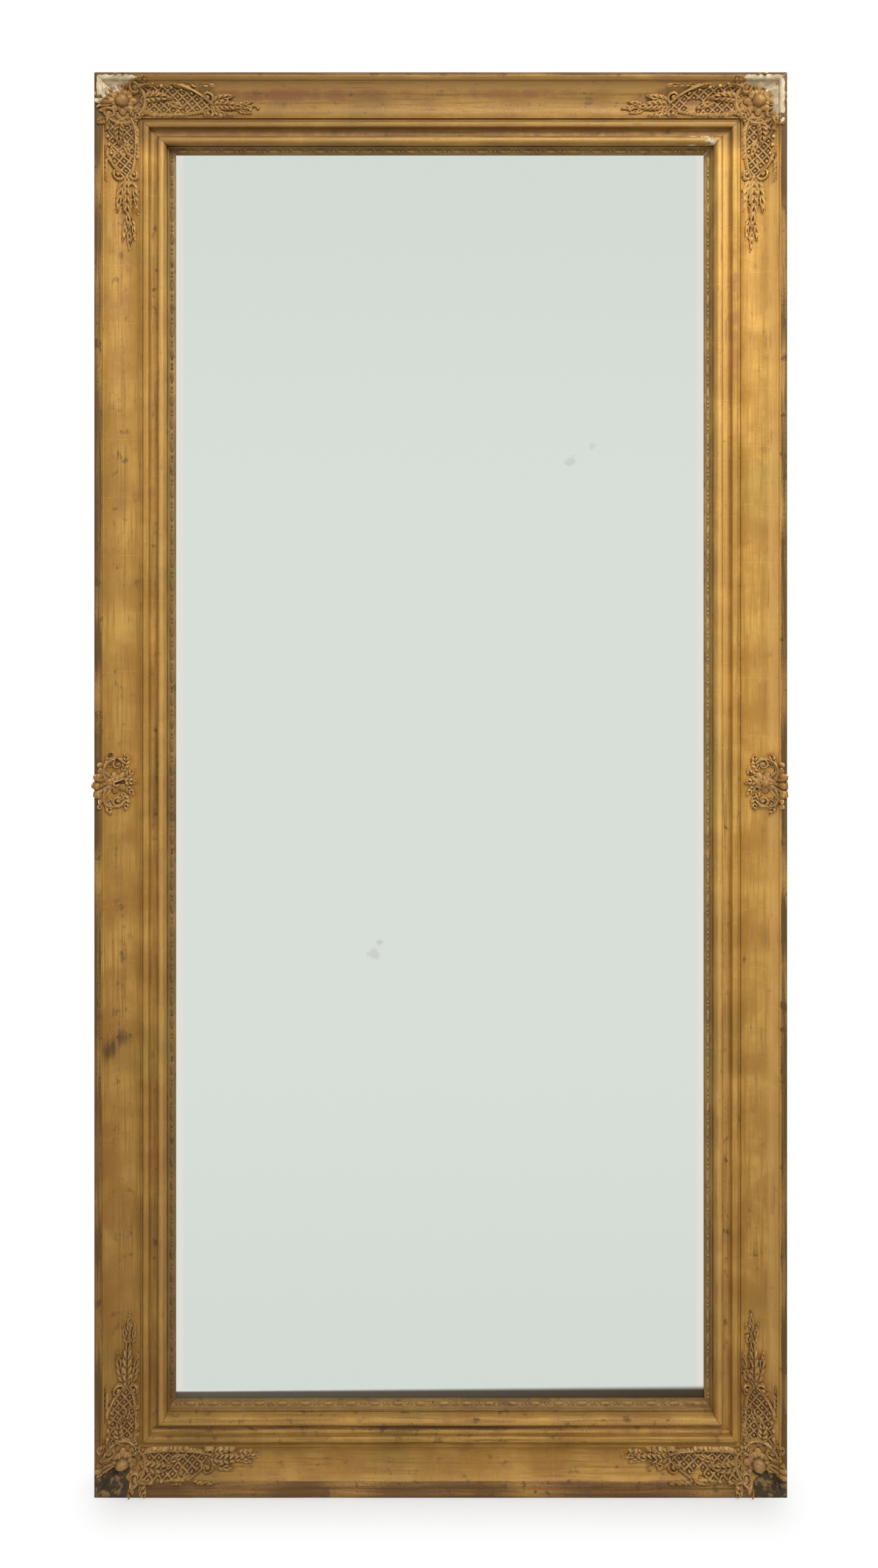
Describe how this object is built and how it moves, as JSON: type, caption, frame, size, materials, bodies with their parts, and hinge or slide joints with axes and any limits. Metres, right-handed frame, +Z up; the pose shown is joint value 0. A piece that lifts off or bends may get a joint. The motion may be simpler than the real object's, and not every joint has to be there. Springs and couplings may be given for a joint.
{
  "type": "pier mirror",
  "caption": "Tall giltwood pier mirror: a plate in a mitred cove moulding with corner and side ornament, a boarded back and swinging hanging rings.",
  "frame": {"origin": "the middle of the wall face, which is the outside of the middle backboard", "axes": "+Z up, +Y into the wall (the room is towards -Y), +X to the right as seen from the room"},
  "size_m": [0.904, 0.0839, 1.85],
  "materials": {
    "gilding": "worn gilding over reddish bole and gesso, dusty in the hollows",
    "dark_gilding": "toned gilding on the small hollow next to the plate",
    "silvered_glass": "old silvered plate glass, faintly grey-green, with a few small foxing spots",
    "pine": "planed pine, unfinished and darkened",
    "aged_pine": "sawn pine, stained brown with age",
    "iron": "dark forged iron with a little rust"
  },
  "bodies": {
    "frame": {"sight_slip_top": "dark_gilding", "inner_moulding_top": "gilding", "sight_slip_right": "dark_gilding", "inner_moulding_right": "gilding", "sight_slip_bottom": "dark_gilding", "inner_moulding_bottom": "gilding", "sight_slip_left": "dark_gilding", "inner_moulding_left": "gilding", "cove_moulding_top_rail": "gilding", "cove_moulding_right_stile": "gilding", "cove_moulding_bottom_rail": "gilding", "cove_moulding_left_stile": "gilding", "rosette_top_left": "gilding", "rail_spray_top_left": "gilding", "stile_spray_top_left": "gilding", "rosette_top_right": "gilding", "rail_spray_top_right": "gilding", "stile_spray_top_right": "gilding", "rosette_bottom_left": "gilding", "rail_spray_bottom_left": "gilding", "stile_spray_bottom_left": "gilding", "rosette_bottom_right": "gilding", "rail_spray_bottom_right": "gilding", "stile_spray_bottom_right": "gilding", "side_shell_left": "gilding", "side_shell_right": "gilding", "mirror_plate": "silvered_glass", "carcass_rail_top": "pine", "carcass_rail_bottom": "pine", "carcass_stile_left": "pine", "carcass_stile_right": "pine", "plate_block_top": "aged_pine", "plate_block_bottom": "aged_pine", "plate_block_left_1": "aged_pine", "plate_block_left_2": "aged_pine", "plate_block_left_3": "aged_pine", "plate_block_right_1": "aged_pine", "plate_block_right_2": "aged_pine", "plate_block_right_3": "aged_pine", "backboard_1": "aged_pine", "backboard_2": "aged_pine", "backboard_3": "aged_pine", "backboard_4": "aged_pine", "backboard_5": "aged_pine", "backboard_6": "aged_pine", "backboard_7": "aged_pine", "backboard_8": "aged_pine", "backboard_9": "aged_pine", "hanger_strap_left": "iron", "hanger_strap_right": "iron", "hanger_screw_left_upper": "iron", "hanger_screw_left_lower": "iron", "hanger_screw_right_upper": "iron", "hanger_screw_right_lower": "iron"},
    "ring_left": {"hanging_ring_left": "iron"},
    "ring_right": {"hanging_ring_right": "iron"}
  },
  "joints": [
    {"name": "ring_left_swing", "type": "hinge", "parent": "frame", "child": "ring_left", "pos_m": [-0.42375, -0.007, 0.56], "axis": [1, 0, 0], "range_deg": [0, 180]},
    {"name": "ring_right_swing", "type": "hinge", "parent": "frame", "child": "ring_right", "pos_m": [0.42375, -0.007, 0.56], "axis": [1, 0, 0], "range_deg": [0, 180]}
  ]
}
